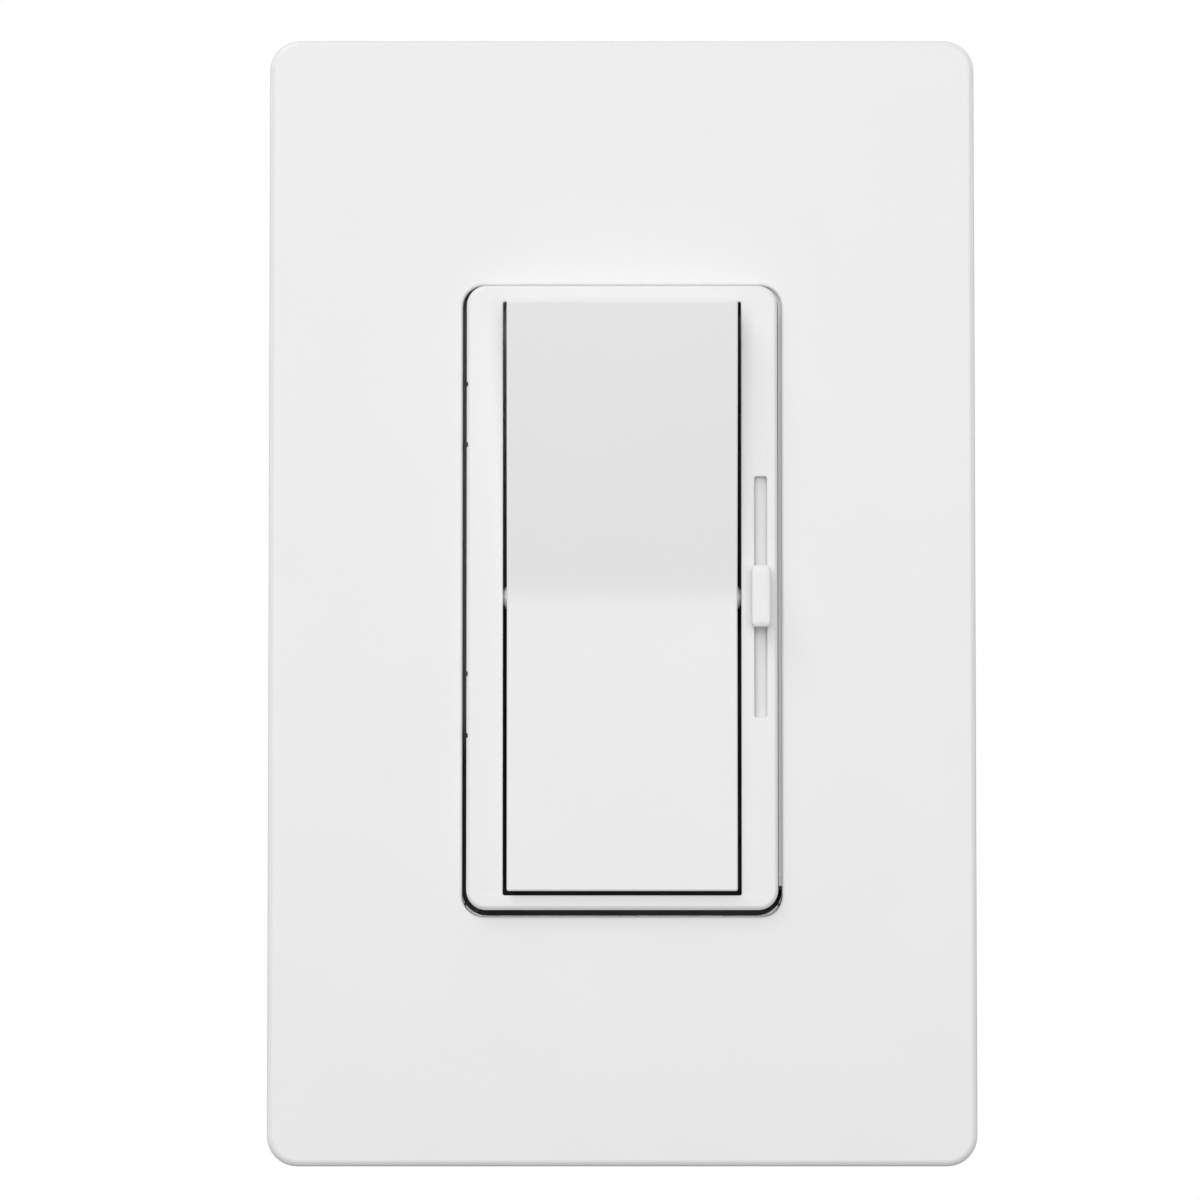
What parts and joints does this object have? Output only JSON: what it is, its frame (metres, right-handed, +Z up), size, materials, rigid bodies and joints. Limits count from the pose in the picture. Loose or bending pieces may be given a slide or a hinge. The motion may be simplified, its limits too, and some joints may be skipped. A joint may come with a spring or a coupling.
{
  "type": "paddle dimmer with slide control",
  "caption": "Wall dimmer: white screwless plate, rocking paddle and a small vertical slide beside it, metal strap, rear housing with side screw terminals.",
  "frame": {"origin": "midway between the two device screws, on the wall's surface", "axes": "+X right and +Z up as seen from the room, +Y into the wall"},
  "size_m": [0.0746, 0.0443, 0.1191],
  "materials": {
    "gloss_white": "smooth moulded, light gloss",
    "frame_white": "fine moulded grain",
    "zinc_steel": "bright zinc plate",
    "strap_aluminium": "rolled sheet, stamped edges",
    "fibre": "pressed fibre",
    "nylon": "natural moulded nylon",
    "spring_steel": "drawn wire",
    "shield_grey": "thin sheet",
    "tinned_steel": "tinned sheet",
    "phenolic": "phenolic paper board with carbon tracks",
    "contact_brass": "stamped sheet",
    "blue_plastic": "moulded",
    "black_plastic": "moulded",
    "contact_silver": "silver alloy",
    "green_board": "solder mask",
    "grey_rubber": "silicone pad",
    "iron_powder": "painted iron powder",
    "copper_wire": "enamelled wire",
    "can_sleeve": "shrink sleeve",
    "resistor_body": "coated",
    "diode_glass": "glass",
    "housing_black": "moulded thermoset, fine texture",
    "black_screw": "black oxide",
    "brass_screw": "brass plate",
    "green_screw": "green dye"
  },
  "bodies": {
    "device": {"wallplate_cover": "gloss_white", "snap_adapter": "frame_white", "adapter_screws": "zinc_steel", "yoke": "strap_aluminium", "device_screws": "zinc_steel", "screw_retainers": "fibre", "front_bezel": "gloss_white", "pot_shell": "tinned_steel", "pot_track": "phenolic", "trim_pot": "blue_plastic", "switch_base": "black_plastic", "fixed_contacts": "contact_silver", "common_terminal": "contact_brass", "upper_terminal": "contact_brass", "lower_terminal": "contact_brass", "circuit_board": "green_board", "triac": "black_plastic", "triac_rivet": "zinc_steel", "insulating_pad": "grey_rubber", "choke_core": "iron_powder", "choke_winding": "copper_wire", "film_capacitor": "blue_plastic", "smoothing_capacitor": "can_sleeve", "resistors": "resistor_body", "trigger_diode": "diode_glass", "controller_chip": "black_plastic", "back_housing": "housing_black", "housing_screws": "zinc_steel", "black_terminal_screw": "black_screw", "brass_terminal_screws": "brass_screw", "ground_screw": "green_screw", "clamp_plates": "tinned_steel", "terminal_plates": "contact_brass"},
    "paddle_body": {"paddle": "gloss_white", "toggle_spring": "spring_steel"},
    "plunger_body": {"toggle_plunger": "nylon"},
    "slider_body": {"slider_knob": "gloss_white", "slider_carriage": "nylon", "dust_shield": "shield_grey", "pot_lever": "nylon", "pot_wiper": "contact_brass"},
    "rocker_body": {"contact_rocker": "contact_brass", "moving_contacts": "contact_silver"},
    "trim_body": {"trim_dial": "black_plastic"}
  },
  "joints": [
    {"name": "paddle_rock", "type": "hinge", "parent": "device", "child": "paddle_body", "pos_m": [0, -0.007, 0], "axis": [-1, 0, 0], "range_deg": [0, 6.2]},
    {"name": "plunger_press", "type": "slide", "parent": "paddle_body", "child": "plunger_body", "axis": [0, -0.9985, -0.0541], "range_m": [0, 0.0008], "stiffness_N_per_m": 300, "springref_m": -0.002, "deforming": ["toggle_spring"]},
    {"name": "slider_slide", "type": "slide", "parent": "device", "child": "slider_body", "axis": [0, 0, 1], "range_m": [-0.0094, 0.0094]},
    {"name": "contact_rock", "type": "hinge", "parent": "device", "child": "rocker_body", "pos_m": [-0.005, 0.011, 0], "axis": [-1, 0, 0], "range_deg": [-16, 0]},
    {"name": "trim_turn", "type": "hinge", "parent": "device", "child": "trim_body", "pos_m": [0.013, -0.0037, -0.026], "axis": [0, 1, 0], "range_deg": [-135, 135]}
  ],
  "couplings": [
    {"joint": "contact_rock", "follows": "paddle_rock", "ratio": -2.58}
  ]
}
